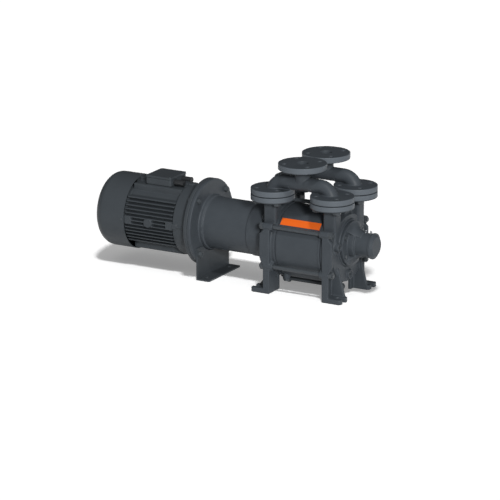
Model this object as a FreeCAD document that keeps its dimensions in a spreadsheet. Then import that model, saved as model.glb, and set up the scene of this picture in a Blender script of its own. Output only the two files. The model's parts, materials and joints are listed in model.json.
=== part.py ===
import FreeCAD, Part
import math
import os
import re
import Sketcher
from FreeCAD import Placement, Rotation, Vector

# Liquid ring vacuum pump with its lantern, jaw coupling and flange motor, in millimetres.
# X runs along the shaft from the motor to the free end, Y to the far side, Z up.
# The origin is on the floor, midway between the four feet of the pump.

SIZES = {
    # Room under the lowest tie rod's centre, and how far the casing bore lies under the shaft
    "floor_gap": 24,
    "ring_drop": 18,
    # Running and assembly clearances
    "fit": 0.1,
    "run": 0.5,
    # Centre body
    "body_length": 164,
    "body_radius": 126,
    "body_wall": 12,
    "drain_boss_radius": 12,
    "drain_boss_inset": 14,
    "drain_boss_y": 66,
    "drain_boss_drop": 14,
    # Port plates
    "plate_thickness": 8,
    "plate_edge": 2.5,
    "plate_bore": 24,
    "port_inner": 44,
    "port_outer": 86,
    # End casings
    "casing_depth": 48,
    "casing_step": 4,
    "nose_inset": 10,
    "rim_depth": 22,
    "chamber_depth": 26,
    "chamber_radius": 104,
    "seal_radius": 30,
    "seal_wall": 10,
    "ring_radius": 82,
    "ring_height": 8,
    "boss_radius": 15,
    "boss_inset": 31,
    "boss_rise": 6,
    "boss_length": 14,
    "drain_radius": 17,
    "drain_inset": 23,
    "port_plug_radius": 10,
    "port_plug_depth": 12,
    "port_plug_sink": 3,
    "socket_corner": 5.8,
    # Tie rods
    "rod_clear": 11.5,
    "rod_radius": 7,
    "rod_hole": 7.5,
    "lug_radius": 13,
    "lug_length": 36,
    "lug_short": 11,
    "nut_corner": 12.7,
    "nut_height": 12,
    "nut_room": 1.5,
    "rod_end": 4,
    # Legs and feet
    "leg_clear": 7,
    "leg_wall": 14,
    "leg_gap": 11,
    "leg_depth": 24,
    "leg_shoulder": 38,
    "leg_step_drop": 76,
    "leg_step_rise": 38,
    "leg_top_rise": 40,
    "web_thickness": 12,
    "web_width": 77,
    "web_drop": 60,
    "web_hole": 4.5,
    "web_hole_rise": 52,
    "web_hole_inset": 58,
    "foot_width": 59,
    "foot_length": 71,
    "foot_thickness": 16,
    "foot_corner": 8,
    "slot_radius": 9,
    "slot_depth": 23,
    "slot_inset": 29,
    "gusset_thickness": 11,
    "gusset_top": 66,
    "gusset_inset": 10,
    "gusset_edge": 2,
    "rib_top": 108,
    # Port columns and flanges
    "port_spread": 83,
    "port_clear": 28.5,
    "column_width": 45,
    "column_corner": 8,
    "bridge_inset": 8,
    "bridge_thickness": 14,
    "lower_radius": 75,
    "lower_thickness": 20,
    "lower_circle": 55,
    "port_bore": 20,
    "upper_radius": 82.5,
    "upper_thickness": 20,
    "upper_circle": 62.5,
    "upper_bore": 20,
    "flange_hole": 9,
    "flange_bolt": 8,
    "bolt_corner": 13.9,
    "bolt_head": 10,
    "bolt_short": 3,
    "gasket_thickness": 2,
    "gasket_radius": 44,
    # Manifolds
    "manifold_height": 118,
    "pipe_radius": 24,
    "pipe_bend": 45,
    "neck_radius": 27,
    "neck_foot": 24.5,
    # Bearing housings at both ends of the pump
    "bracket_flange": 78,
    "bracket_thickness": 10,
    "bracket_length": 84,
    "neck_outer": 41.5,
    "bracket_reach": 40,
    "bracket_gap": 22,
    "arm_bow": 48,
    "bracket_window": 96,
    "arm_edge": 2,
    "nipple_pitch": 19,
    "nipple_inset": 8,
    "cover_radius": 44.5,
    "cover_depth": 13.5,
    "cover_wall": 4,
    "cover_nose": 8.5,
    "cover_step": 3.5,
    "cover_face": 32,
    "bracket_circle": 68,
    "m8_radius": 4,
    "m8_corner": 7.5,
    "m8_head": 5.5,
    "m8_depth": 14,
    # Pump bearings
    "bearing_outer": 36,
    "bearing_bore": 15,
    "bearing_width": 19,
    "bearing_race": 5,
    "bearing_reach": 64,
    # Pump shaft and impeller
    "shaft_radius": 22,
    "sleeve_radius": 17.5,
    "stub_radius": 14,
    "tip_clearance": 1,
    "hub_radius": 40,
    "vane_count": 12,
    "vane_thickness": 5,
    "vane_sweep": 26,
    "vane_taper": 3,
    "vane_bend": 92,
    "key_width": 12,
    "key_height": 8,
    "key_length": 110,
    "locknut_radius": 21,
    "locknut_width": 7,
    "locknut_room": 4,
    # Mechanical seals
    "seat_radius": 22,
    "seat_width": 12,
    "head_radius": 26,
    "head_width": 24,
    # Jaw coupling
    "coupling_radius": 47.5,
    "hub_length": 48,
    "jaw_gap": 24,
    "jaw_inner": 24,
    "jaw_angle": 31,
    "jaw_play": 0.6,
    "spider_inner": 15,
    "spider_root": 2,
    "spider_edge": 1,
    # Lantern
    "lantern_length": 271,
    "lantern_radius": 90,
    "lantern_wall": 7,
    "lantern_foot": 106,
    "lantern_foot_thickness": 12,
    "lantern_circle": 96,
    "lantern_ring": 93,
    "lantern_ring_length": 54,
    "lantern_waist": 87,
    "lantern_waist_length": 18,
    "lantern_lug": 28,
    "lantern_collar": 95,
    "collar_length": 14,
    "lantern_rim": 14,
    # Support foot of bent sheet
    "sheet": 5,
    "sheet_half_width": 108.5,
    "sheet_drop": 70,
    "sheet_foot": 51,
    "sheet_cut": 98,
    "sheet_hole": 7,
    "sheet_hole_spread": 76,
    "sheet_hole_reach": 26,
    # Motor flange and its bolts
    "flange_radius": 150,
    "flange_thickness": 14,
    "flange_circle": 132.5,
    "flange_spigot": 115,
    "spigot_height": 4,
    "m12_radius": 6,
    "m12_hole": 7.5,
    "m12_corner": 10.4,
    "m12_head": 7.5,
    "m12_nut": 10,
    "m12_end": 3,
    # Motor shields and housing
    "shield_length": 59,
    "shield_radius": 122,
    "shield_neck": 114,
    "shield_hub": 56,
    "shield_wall": 12,
    "housing_length": 190,
    "housing_radius": 108,
    "housing_bore": 100,
    "fin_radius": 126,
    "fin_pitch": 12.7,
    "fin_thickness": 4.5,
    "side_fins": 6,
    "base_fins": 4,
    "shoulder_half": 58,
    "shoulder_rise": 114,
    "pad_size": 26,
    "pad_width": 30,
    "pad_radius": 16,
    "rear_thickness": 16,
    # Motor inside
    "motor_bearing_outer": 45,
    "motor_bearing_bore": 20,
    "motor_bearing_width": 23,
    "motor_bearing_race": 6,
    "motor_shaft_radius": 19,
    "motor_shaft_length": 80,
    "rotor_shaft_radius": 24,
    "rotor_radius": 62,
    "air_gap": 0.5,
    "core_length": 130,
    "winding_length": 26,
    "winding_inner": 66,
    "winding_outer": 92,
    "motor_key_width": 10,
    "motor_key_height": 8,
    "motor_key_length": 44,
    "motor_key_inset": 2,
    "fan_shaft_radius": 17,
    # Fan and cowl
    "fan_radius": 104,
    "fan_width": 40,
    "fan_hub": 27,
    "fan_plate": 3,
    "fan_blade": 3,
    "fan_blades": 7,
    "fan_gap": 24,
    "cowl_radius": 129.5,
    "cowl_wall": 2,
    "cowl_length": 124,
    "cowl_round": 38,
    "cowl_slot_inner": 30,
    "cowl_slot_outer": 62,
    "cowl_slot_width": 6,
    "cowl_slots": 20,
    "cowl_screw_reach": 10,
    "lug_width": 20,
    # Terminal box
    "box_length": 100,
    "box_width": 106,
    "box_rise": 148,
    "box_seat_rise": 117,
    "box_wall": 5,
    "box_round": 6,
    "lid_thickness": 8,
    "lid_edge": 1,
    "lid_screw_inset": 7,
    "m6_radius": 3,
    "m6_corner": 5.8,
    "m6_head": 4,
    "m6_depth": 12,
    "screw_circle": 114,
    "front_lug": 16,
    "shield_rib": 6,
    "gland_radius": 10,
    "gland_thread": 8,
    "gland_length": 38,
    # Label plate
    "label_margin": 7,
    "label_width": 26,
    "label_thickness": 1.2,
    "label_gap": 0.3,
    "label_angle": 43,
}

PLACES = {
    "plate_radius": "body_radius + plate_edge",
    "casing_radius": "body_radius",
    "nose_radius": "body_radius - nose_inset",
    "rod_circle": "plate_radius + rod_clear",
    "body_axis": "rod_circle + floor_gap",
    "shaft_height": "body_axis + ring_drop",
    "body_half": "body_length / 2",
    "bore_radius": "body_radius - body_wall",
    "plate_face": "body_half + plate_thickness",
    "casing_face": "plate_face + casing_depth",
    "front_face": "casing_face + ring_height - casing_step",
    "boss_face": "casing_face + boss_length",
    "port_x": "plate_face + casing_depth / 2",
    "flange_base": "body_axis + plate_radius + port_clear",
    "port_height": "flange_base + lower_thickness",
    "manifold_base": "port_height + gasket_thickness",
    "manifold_top": "manifold_base + manifold_height",
    "pipe_height": "manifold_base + pipe_bend",
    "drain_boss_x": "body_half - drain_boss_inset",
    "drain_drop": "nose_radius - drain_inset",
    "boss_y": "body_radius - boss_inset",
    "leg_start": "plate_face + leg_gap",
    "leg_end": "leg_start + leg_depth",
    "leg_wide": "leg_start + leg_shoulder",
    "leg_outer": "body_radius + leg_clear",
    "leg_step_low": "body_axis - leg_step_drop",
    "leg_step_high": "leg_step_low + leg_step_rise",
    "leg_top": "shaft_height + leg_top_rise",
    "web_inner": "leg_outer - web_width",
    "web_top": "body_axis - web_drop",
    "foot_inner": "leg_outer - foot_width",
    "foot_end": "leg_start + foot_length",
    "slot_start": "foot_end - slot_depth",
    "slot_spread": "leg_outer - slot_inset",
    "gusset_reach": "foot_end - gusset_inset",
    "nose_face": "casing_face - casing_step",
    "impeller_radius": "bore_radius - ring_drop - tip_clearance",
    "bracket_end": "front_face + bracket_length",
    "bearing_centre": "front_face + bearing_reach",
    "bearing_start": "bearing_centre - bearing_width / 2",
    "bearing_end": "bearing_centre + bearing_width / 2",
    "lantern_near": "-front_face",
    "motor_face": "-(front_face + lantern_length)",
    "rim_face": "motor_face + lantern_rim",
    "sheet_height": "shaft_height - sheet_drop",
    "flange_back": "motor_face - flange_thickness",
    "housing_front": "flange_back - shield_length",
    "housing_back": "housing_front - housing_length",
    "housing_mid": "housing_front - housing_length / 2",
    "rear_back": "housing_back - rear_thickness",
    "cowl_back": "housing_back - cowl_length",
    "motor_shaft_tip": "motor_face + motor_shaft_length",
    "jaw_start": "motor_shaft_tip + jaw_gap",
    "pump_shaft_tip": "jaw_start",
    "box_back": "housing_mid - box_length / 2",
    "box_front": "housing_mid + box_length / 2",
    "shoulder_top": "shaft_height + shoulder_rise",
    "box_seat": "shaft_height + box_seat_rise",
    "box_top": "shaft_height + box_rise",
    "lid_base": "box_top - lid_thickness",
    "label_length": "body_length - 2 * label_margin",
    "pad_root": "(housing_bore + housing_radius) / 2",
    "lug_reach": "sqrt((cowl_radius - cowl_wall) ^ 2 - (lug_width / 2) ^ 2) - fit",
}

doc = FreeCAD.newDocument("LiquidRingPump")
sheet = doc.addObject("Spreadsheet::Sheet", "Sizes")
for line, (alias, number) in enumerate(SIZES.items(), 1):
    sheet.set("A%d" % line, alias)
    sheet.set("B%d" % line, str(number))
    sheet.setAlias("B%d" % line, alias)
doc.recompute()


def bind(text):
    """Write out a formula in size names as an expression on the sheet."""
    def swap(match):
        word = match.group(0)
        if word in PLACES:
            return "(" + bind(PLACES[word]) + ")"
        if word in SIZES:
            return "Sizes." + word
        return word
    return re.sub(r"[a-z_][a-z0-9_]*", swap, str(text))


def value(text):
    """Work a formula out as a number."""
    return float(sheet.evalExpression(bind(text)))


# Primitives, each bound to formulas

TURNS = {
    "x": Rotation(Vector(0, 1, 0), 90),
    "-x": Rotation(Vector(0, 1, 0), -90),
    "y": Rotation(Vector(1, 0, 0), -90),
    "-y": Rotation(Vector(1, 0, 0), 90),
    "z": Rotation(),
    "-z": Rotation(Vector(1, 0, 0), 180),
}
WAYS = {"x": (1, 0, 0), "-x": (-1, 0, 0), "y": (0, 1, 0), "-y": (0, -1, 0), "z": (0, 0, 1), "-z": (0, 0, -1)}


def place(thing, at, turn=Rotation()):
    """Turn a thing and bind its base point to three formulas."""
    thing.Placement = Placement(Vector(), turn)
    for letter, text in zip("xyz", at):
        thing.setExpression("Placement.Base." + letter, bind(text))
    return thing


def shifted(at, way, distance):
    """The point that lies a distance from another one, along a way."""
    return [f"{text} + {step} * ({distance})" if step else text for text, step in zip(at, WAYS[way])]


def cylinder(radius, length, at, way="z", angle=None, start=0):
    """A cylinder, or a sector of one, from a base point along a way."""
    thing = doc.addObject("Part::Cylinder", "Cylinder")
    thing.setExpression("Radius", bind(radius))
    thing.setExpression("Height", bind(length))
    if angle is not None:
        thing.setExpression("Angle", bind(angle))
    return place(thing, at, TURNS[way].multiply(Rotation(Vector(0, 0, 1), start)))


def cone(radius1, radius2, length, at, way="z"):
    """A cone frustum from a base point along a way."""
    thing = doc.addObject("Part::Cone", "Cone")
    thing.setExpression("Radius1", bind(radius1))
    thing.setExpression("Radius2", bind(radius2))
    thing.setExpression("Height", bind(length))
    return place(thing, at, TURNS[way])


def box(size, centre):
    """A box of three sizes about a centre point."""
    thing = doc.addObject("Part::Box", "Box")
    for name, text in zip(("Length", "Width", "Height"), size):
        thing.setExpression(name, bind(text))
    return place(thing, [f"{middle} - ({extent}) / 2" for middle, extent in zip(centre, size)])


def span_box(low, high):
    """A box between two corner points."""
    size = [f"{top} - ({bottom})" for bottom, top in zip(low, high)]
    thing = doc.addObject("Part::Box", "Box")
    for name, text in zip(("Length", "Width", "Height"), size):
        thing.setExpression(name, bind(text))
    return place(thing, low)


def hexagon(corner, height, at, way="z"):
    """A hexagonal prism from a base point along a way."""
    thing = doc.addObject("Part::Prism", "Hexagon")
    thing.Polygon = 6
    thing.setExpression("Circumradius", bind(corner))
    thing.setExpression("Height", bind(height))
    return place(thing, at, TURNS[way])


def ball(radius, at):
    """A ball about a centre point."""
    thing = doc.addObject("Part::Sphere", "Ball")
    thing.setExpression("Radius", bind(radius))
    return place(thing, at)


def fused(*things):
    thing = doc.addObject("Part::MultiFuse", "Fused")
    thing.Shapes = list(things)
    return thing


def cut(base, *tools):
    thing = doc.addObject("Part::Cut", "Cut")
    thing.Base = base
    thing.Tool = tools[0] if len(tools) == 1 else fused(*tools)
    return thing


def common(first, second):
    thing = doc.addObject("Part::Common", "Common")
    thing.Base = first
    thing.Tool = second
    return thing


def group(things):
    thing = doc.addObject("Part::Compound", "Group")
    thing.Links = list(things)
    return thing


NODES = []


def node(label, thing):
    """Name a finished sub-part."""
    thing.Label = label
    NODES.append(thing)
    return thing


# Sketched bodies

def draw(sketch, points):
    """Draw a closed outline whose corners, and arc radii, are bound to formulas.

    A point is (across, up), or (across, up, radius, turn) where an arc leads to the next point.
    """
    spots = [Vector(value(point[0]), value(point[1]), 0) for point in points]
    ends = []
    for number, point in enumerate(points):
        here = spots[number]
        there = spots[(number + 1) % len(spots)]
        if len(point) == 2:
            sketch.addGeometry(Part.LineSegment(here, there), False)
            ends.append((1, 2))
            continue
        radius = value(point[2])
        first, last = (here, there) if point[3] == "ccw" else (there, here)
        chord = last - first
        rise = math.sqrt(max(radius ** 2 - chord.Length ** 2 / 4, 0))
        centre = (first + last) * 0.5 + Vector(-chord.y, chord.x, 0).normalize() * rise
        begin = math.atan2(first.y - centre.y, first.x - centre.x)
        finish = math.atan2(last.y - centre.y, last.x - centre.x)
        circle = Part.Circle(centre, Vector(0, 0, 1), radius)
        sketch.addGeometry(Part.ArcOfCircle(circle, begin, finish), False)
        ends.append((1, 2) if point[3] == "ccw" else (2, 1))
    for number in range(len(points)):
        after = (number + 1) % len(points)
        link = Sketcher.Constraint("Coincident", number, ends[number][1], after, ends[after][0])
        sketch.addConstraint(link)
    for number, point in enumerate(points):
        for kind, text in (("DistanceX", point[0]), ("DistanceY", point[1])):
            rule = Sketcher.Constraint(kind, -1, 1, number, ends[number][0], value(text))
            sketch.setExpression("Constraints[%d]" % sketch.addConstraint(rule), bind(text))
        if len(point) > 2:
            rule = Sketcher.Constraint("Radius", number, value(point[2]))
            sketch.setExpression("Constraints[%d]" % sketch.addConstraint(rule), bind(point[2]))


def drawn(body, plane, points):
    """A sketch on one of a body's own origin planes."""
    sketch = body.newObject("Sketcher::SketchObject", "Outline")
    base = [item for item in body.Origin.OriginFeatures if item.Role == plane][0]
    sketch.AttachmentSupport = [(base, "")]
    sketch.MapMode = "FlatFace"
    draw(sketch, points)
    return sketch


def turned(points, at=("0", "0", "shaft_height"), upright=False):
    """A body of revolution: points are (along the axis, radius), about X, or about Z if upright."""
    body = doc.addObject("PartDesign::Body", "Turned")
    if upright:
        points = [(point[1], point[0]) + tuple(point[2:]) for point in points]
    sketch = drawn(body, "XZ_Plane", points)
    revolution = body.newObject("PartDesign::Revolution", "Revolution")
    revolution.Profile = sketch
    revolution.ReferenceAxis = (sketch, ["V_Axis" if upright else "H_Axis"])
    revolution.Angle = 360
    return place(body, at)


def padded(points, plane, start, length, at=("0", "0", "0")):
    """A body padded from an outline, from a start along the plane's normal."""
    body = doc.addObject("PartDesign::Body", "Padded")
    sketch = drawn(body, plane, points)
    sketch.setExpression("AttachmentOffset.Base.z", bind(start))
    pad = body.newObject("PartDesign::Pad", "Pad")
    pad.Profile = sketch
    pad.setExpression("Length", bind(length))
    return place(body, at)


def rounded(half_across, half_up, corner, across="0", up="0"):
    """The outline of a rectangle with rounded corners about a centre."""
    left = f"{across} - ({half_across})"
    right = f"{across} + ({half_across})"
    low = f"{up} - ({half_up})"
    high = f"{up} + ({half_up})"
    return [
        (f"{left} + {corner}", low),
        (f"{right} - ({corner})", low, corner, "ccw"),
        (right, f"{low} + {corner}"),
        (right, f"{high} - ({corner})", corner, "ccw"),
        (f"{right} - ({corner})", high),
        (f"{left} + {corner}", high, corner, "ccw"),
        (left, f"{high} - ({corner})"),
        (left, f"{low} + {corner}", corner, "ccw"),
    ]


def around(circle, angle, along="0", centre_z="shaft_height"):
    """A point on a circle about the shaft line, or about another height."""
    return [along, f"({circle}) * cos({angle})", f"{centre_z} + ({circle}) * sin({angle})"]


def beside(circle, angle, middle):
    """A point on an upright bolt circle about a middle point."""
    return [f"{middle[0]} + {circle} * cos({angle})", f"{middle[1]} + {circle} * sin({angle})", middle[2]]


def bolt(radius, length, corner, head, at, way):
    """A hexagon bolt whose head seats at a point and whose shank runs along a way."""
    shank = cylinder(radius, length, at, way)
    return fused(shank, hexagon(corner, head, shifted(at, way, f"-({head})"), way))


def radial_box(inner, outer, width, along, length, angle, centre_z):
    """A bar of a given width that runs outwards at an angle about an axis along X."""
    base = [
        along,
        f"({inner}) * cos({angle}) + ({width}) / 2 * sin({angle})",
        f"{centre_z} + ({inner}) * sin({angle}) - ({width}) / 2 * cos({angle})",
    ]
    thing = doc.addObject("Part::Box", "Bar")
    thing.setExpression("Length", bind(length))
    thing.setExpression("Width", bind(f"{outer} - ({inner})"))
    thing.setExpression("Height", bind(width))
    return place(thing, base, Rotation(Vector(1, 0, 0), angle))


SIDES = ("-1", "1")
BRACKET_ANGLES = (28, 152, 208, 332)
ROD_ANGLES = (30, 90, 150, 210, 270, 330)
QUARTERS = (45, 135, 225, 315)
CROSS = (0, 90, 180, 270)


def start_of(end, near, far):
    """The lower of two X places on the drive end (-1) or the free end (1)."""
    return f"{near}" if end == "1" else f"-({far})"


# Centre body with its eccentric bore and the drain boss underneath

def make_centre_body():
    ring = turned([
        ("-body_half", "bore_radius"), ("body_half", "bore_radius"),
        ("body_half", "body_radius"), ("-body_half", "body_radius"),
    ], at=("0", "0", "body_axis"))
    low = "body_axis - sqrt(body_radius * body_radius - drain_boss_y * drain_boss_y)"
    base = ["-drain_boss_x", "-drain_boss_y", f"{low} - drain_boss_drop"]
    boss = cylinder("drain_boss_radius", "drain_boss_drop + body_wall", base)
    hole = cylinder("m8_radius + fit", "m8_depth", base)
    node("centre_body", cut(fused(ring, boss), hole))
    node("body_drain_plug", bolt("m8_radius", "m8_depth - fit", "drain_boss_radius - 2 * fit",
                                 "m8_head", base, "z"))


# Port plates with a wide suction port and a narrow discharge port

def make_port_plate(label, end):
    start = start_of(end, "body_half", "plate_face")
    disc = cylinder("plate_radius", "plate_thickness", [start, "0", "body_axis"], "x")
    bore = cylinder("plate_bore", "plate_thickness", [start, "0", "shaft_height"], "x")
    ports = []
    for angle, first in ((100, 40), (60, 240)):
        at = [start, "0", "shaft_height"]
        sector = cylinder("port_outer", "plate_thickness", at, "x", angle, first)
        ports.append(cut(sector, cylinder("port_inner", "plate_thickness", at, "x")))
    node(label, cut(disc, bore, *ports))


# End casings with columns, flanges, rod lugs, legs and feet

def make_casing(label, end):
    """One end casing: disc, nose, columns with flanges, rod lugs, legs and chambers."""
    def slab(radius, near, far, y="0", z="shaft_height"):
        return cylinder(radius, f"{far} - ({near})", [start_of(end, near, far), y, z], "x")

    solids = [
        slab("casing_radius", "plate_face", "plate_face + rim_depth", z="body_axis"),
        slab("nose_radius", "plate_face", "nose_face", z="body_axis"),
        slab("ring_radius" if end == "1" else "lantern_foot", "plate_face", "front_face"),
        slab("drain_radius", "plate_face", "front_face", z="body_axis - drain_drop"),
    ]
    holes = [slab("port_plug_radius", "front_face - port_plug_depth", "front_face",
                  z="body_axis - drain_drop")]
    for angle in ROD_ANGLES:
        length = "lug_short" if angle == 270 else "lug_length"
        at = around("rod_circle", angle, start_of(end, "plate_face", f"plate_face + {length}"), "body_axis")
        solids.append(cylinder("lug_radius", length, at, "x"))
        solids.append(radial_box("seal_radius + seal_wall", "rod_circle", "lug_radius * 2",
                                 at[0], length, angle, "body_axis"))
        holes.append(cylinder("rod_hole", length, at, "x"))
        room = around("rod_circle", angle, start_of(end, f"plate_face + {length}", "foot_end"), "body_axis")
        holes.append(cylinder("nut_corner + nut_room", f"foot_end - plate_face - {length}", room, "x"))
    for side in SIDES:
        middle = [f"{end} * port_x", f"{side} * port_spread", "flange_base"]
        solids.append(padded(rounded("casing_depth / 2", "column_width / 2", "column_corner",
                                     middle[0], middle[1]), "XY_Plane", "body_axis",
                             "flange_base - body_axis"))
        solids.append(cylinder("lower_radius", "lower_thickness", middle))
        holes.append(cylinder("port_bore", "port_height - body_axis", [middle[0], middle[1], "body_axis"]))
        holes += [cylinder("flange_hole", "lower_thickness", beside("lower_circle", angle, middle))
                  for angle in QUARTERS]
        solids += make_leg(end, side)
        holes += make_slot(end, side)
    bridge = start_of(end, "plate_face + bridge_inset", "plate_face + bridge_inset + bridge_thickness")
    solids.append(span_box([bridge, "-port_spread", "body_axis"],
                           [f"{bridge} + bridge_thickness", "port_spread", "flange_base"]))
    holes.append(slab("seal_radius", "plate_face", "front_face"))
    core = slab("seal_radius + seal_wall", "plate_face", "plate_face + chamber_depth")
    for first in (15, 195):
        at = [start_of(end, "plate_face", "plate_face + chamber_depth"), "0", "body_axis"]
        holes.append(cut(cylinder("chamber_radius", "chamber_depth", at, "x", 150, first), core))
    rows = [("bracket_circle", BRACKET_ANGLES)] + [("lantern_circle", QUARTERS)] * (end == "-1")
    for circle, angles in rows:
        start = start_of(end, "front_face - m8_depth", "front_face")
        holes += [cylinder("m8_radius + fit", "m8_depth", around(circle, angle, start), "x")
                  for angle in angles]
    if end == "1":
        spot = ("-boss_y", "shaft_height + boss_rise")
        solids.append(slab("boss_radius", "plate_face + chamber_depth", "boss_face", *spot))
        holes.append(slab("port_plug_radius", "boss_face - port_plug_depth", "boss_face", *spot))
    node(label, cut(fused(*solids), *holes))


def make_leg(end, side):
    """One leg: a side wall that narrows downwards, a front web, a foot plate and a gusset."""
    def wall(points, inner, thickness):
        outline = [(f"{end} * ({along})", up) for along, up in points]
        low = inner if side == "-1" else f"-({inner}) - {thickness}"
        return padded(outline, "XZ_Plane", low, thickness)

    side_wall = wall([
        ("leg_start", "0"), ("leg_end", "0"), ("leg_end", "leg_step_low"), ("leg_wide", "leg_step_high"),
        ("leg_wide", "leg_top - leg_wall"), ("leg_wide - leg_wall", "leg_top"), ("leg_start", "leg_top"),
    ], "leg_outer - leg_wall", "leg_wall")
    web = box(["web_thickness", "leg_outer - web_inner", "web_top"],
              [f"{end} * (leg_start + web_thickness / 2)", f"{side} * (leg_outer + web_inner) / 2",
               "web_top / 2"])
    foot = padded(rounded("(foot_end - leg_start) / 2", "(leg_outer - foot_inner) / 2", "foot_corner",
                          f"{end} * (foot_end + leg_start) / 2",
                          f"{side} * (leg_outer + foot_inner) / 2"),
                  "XY_Plane", "0", "foot_thickness")
    # The rib on the inner side of the foot is lower at the drive end
    near, top = ("leg_end", "gusset_top") if end == "-1" else ("leg_wide", "rib_top")
    gusset = wall([
        ("leg_start", "0"), ("gusset_reach", "0"), ("gusset_reach", "foot_thickness + gusset_edge"),
        (near, top), ("leg_start", top),
    ], "foot_inner", "gusset_thickness")
    return [side_wall, web, foot, gusset]


def make_slot(end, side):
    """The open slot in the outer end of one foot, and the small hole in the web above it."""
    centre = [f"{end} * slot_start", f"{side} * slot_spread", "0"]
    length = "foot_end - slot_start + slot_radius"
    opening = box([length, "slot_radius * 2", "foot_thickness"],
                  [f"{end} * (slot_start + ({length}) / 2)", centre[1], "foot_thickness / 2"])
    web_hole = cylinder("web_hole", "web_thickness", [
        start_of(end, "leg_start", "leg_start + web_thickness"),
        f"{side} * (leg_outer - web_hole_inset)", "web_hole_rise"], "x")
    return [cylinder("slot_radius", "foot_thickness", centre), opening, web_hole]


# Tie rods and their nuts

def make_tie_rods():
    rods = []
    nuts = []
    for angle in ROD_ANGLES:
        face = "plate_face + lug_short" if angle == 270 else "plate_face + lug_length"
        reach = f"({face} + nut_height + rod_end)"
        rods.append(cylinder("rod_radius", f"2 * {reach}",
                             around("rod_circle", angle, f"-{reach}", "body_axis"), "x"))
        for start in (face, f"-({face} + nut_height)"):
            at = around("rod_circle", angle, start, "body_axis")
            hole = cylinder("rod_radius + fit", "nut_height", at, "x")
            nuts.append(cut(hexagon("nut_corner", "nut_height", at, "x"), hole))
    node("tie_rods", group(rods))
    node("tie_rod_nuts", group(nuts))


# Manifolds: a pipe bent down at both ends, with a neck up to the top flange

def make_manifold(label, side):
    y = f"{side} * port_spread"
    solids = [cylinder("upper_radius", "upper_thickness", ["0", y, "manifold_top - upper_thickness"])]
    holes = []
    for radius, kept in (("pipe_radius", solids), ("port_bore", holes)):
        kept.append(cylinder(radius, "2 * (port_x - pipe_bend)", ["-(port_x - pipe_bend)", y, "pipe_height"],
                             "x"))
        for end in SIDES:
            kept.append(bend(radius, end, y))
    for end in SIDES:
        middle = [f"{end} * port_x", y, "manifold_base"]
        solids.append(cylinder("lower_radius", "lower_thickness", middle))
        holes += [cylinder("flange_hole", "lower_thickness", beside("lower_circle", angle, middle))
                  for angle in QUARTERS]
    solids.append(cone("neck_foot", "neck_radius", "manifold_top - pipe_height - upper_thickness",
                       ["0", y, "pipe_height"]))
    holes.append(cylinder("upper_bore", "manifold_top - pipe_height", ["0", y, "pipe_height"]))
    middle = ["0", y, "manifold_top - upper_thickness"]
    holes += [cylinder("flange_hole", "upper_thickness", beside("upper_circle", angle, middle))
              for angle in QUARTERS]
    node(label, cut(fused(*solids), *holes))


def bend(radius, end, y):
    """A quarter bend from the lower flange into the run of the manifold."""
    ring = doc.addObject("Part::Torus", "Bend")
    ring.setExpression("Radius1", bind("pipe_bend"))
    ring.setExpression("Radius2", bind(radius))
    turn = Rotation(Vector(1, 0, 0), 90)
    if end == "-1":
        turn = turn.multiply(Rotation(Vector(0, 0, 1), 90))
    ring.Angle3 = 90
    return place(ring, [f"{end} * (port_x - pipe_bend)", y, "manifold_base"], turn)


def make_flange_joints():
    gaskets = []
    screws = []
    for end in SIDES:
        for side in SIDES:
            middle = [f"{end} * port_x", f"{side} * port_spread", "port_height"]
            disc = cylinder("gasket_radius", "gasket_thickness", middle)
            gaskets.append(cut(disc, cylinder("port_bore", "gasket_thickness", middle)))
            for angle in QUARTERS:
                at = beside("lower_circle", angle, [middle[0], middle[1], "flange_base"])
                length = "2 * lower_thickness + gasket_thickness - bolt_short"
                screws.append(bolt("flange_bolt", length, "bolt_corner", "bolt_head", at, "z"))
    node("flange_gaskets", group(gaskets))
    node("flange_screws", group(screws))


# Bearing housings: a flange, two curved arms above and below, and the bearing neck

def make_bracket(label, end):
    """One bearing housing: a flange, a seal cover, a neck and two curved arms."""
    def along(points):
        return [(f"{end} * ({point[0]})",) + tuple(point[1:]) for point in points]

    arm_end = "front_face + bracket_thickness + bracket_reach"
    bore = "seal_radius + arm_edge * 2"
    flange = turned(along([
        ("front_face", bore), ("front_face + bracket_thickness", bore),
        ("front_face + bracket_thickness", "bracket_flange"), ("front_face", "bracket_flange"),
    ]))
    neck = turned(along([
        ("front_face + bracket_thickness", "sleeve_radius + run"), ("bearing_start", "sleeve_radius + run"),
        ("bearing_start", "bearing_outer + fit"), ("bracket_end", "bearing_outer + fit"),
        ("bracket_end", "neck_outer"), ("front_face + bracket_gap + arm_edge * 5", "neck_outer"),
        ("front_face + bracket_gap + arm_edge * 5", "neck_outer + arm_edge * 4"),
        ("front_face + bracket_thickness", "neck_outer + arm_edge * 4"),
    ]))
    flare = turned(along([
        ("front_face", bore), ("front_face + bracket_gap", bore), (arm_end, "neck_outer - arm_edge"),
        (arm_end, "neck_outer + arm_edge", "arm_bow", "cw" if end == "1" else "ccw"),
        ("front_face + bracket_thickness", "bracket_flange - arm_edge * 2"),
        ("front_face", "bracket_flange - arm_edge * 2"),
    ]))
    start = start_of(end, "front_face + bracket_thickness", arm_end)
    windows = [cylinder("bracket_flange", "bracket_reach", [start, "0", "shaft_height"], "x",
                        "bracket_window", middle - value("bracket_window") / 2) for middle in (90, 270)]
    holes = [cylinder("m8_radius + fit * 2", "bracket_thickness", around(
        "bracket_circle", angle, start_of(end, "front_face", "front_face + bracket_thickness")), "x")
        for angle in BRACKET_ANGLES]
    passage = start_of(end, "front_face", "bracket_end")
    holes.append(cylinder("sleeve_radius + run", "bracket_length", [passage, "0", "shaft_height"], "x"))
    seat = start_of(end, "bearing_start", "bracket_end")
    holes.append(cylinder("bearing_outer + fit", "bracket_end - bearing_start", [seat, "0", "shaft_height"],
                          "x"))
    node(label, cut(fused(flange, neck, cut(flare, *windows)), *holes))


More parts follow.
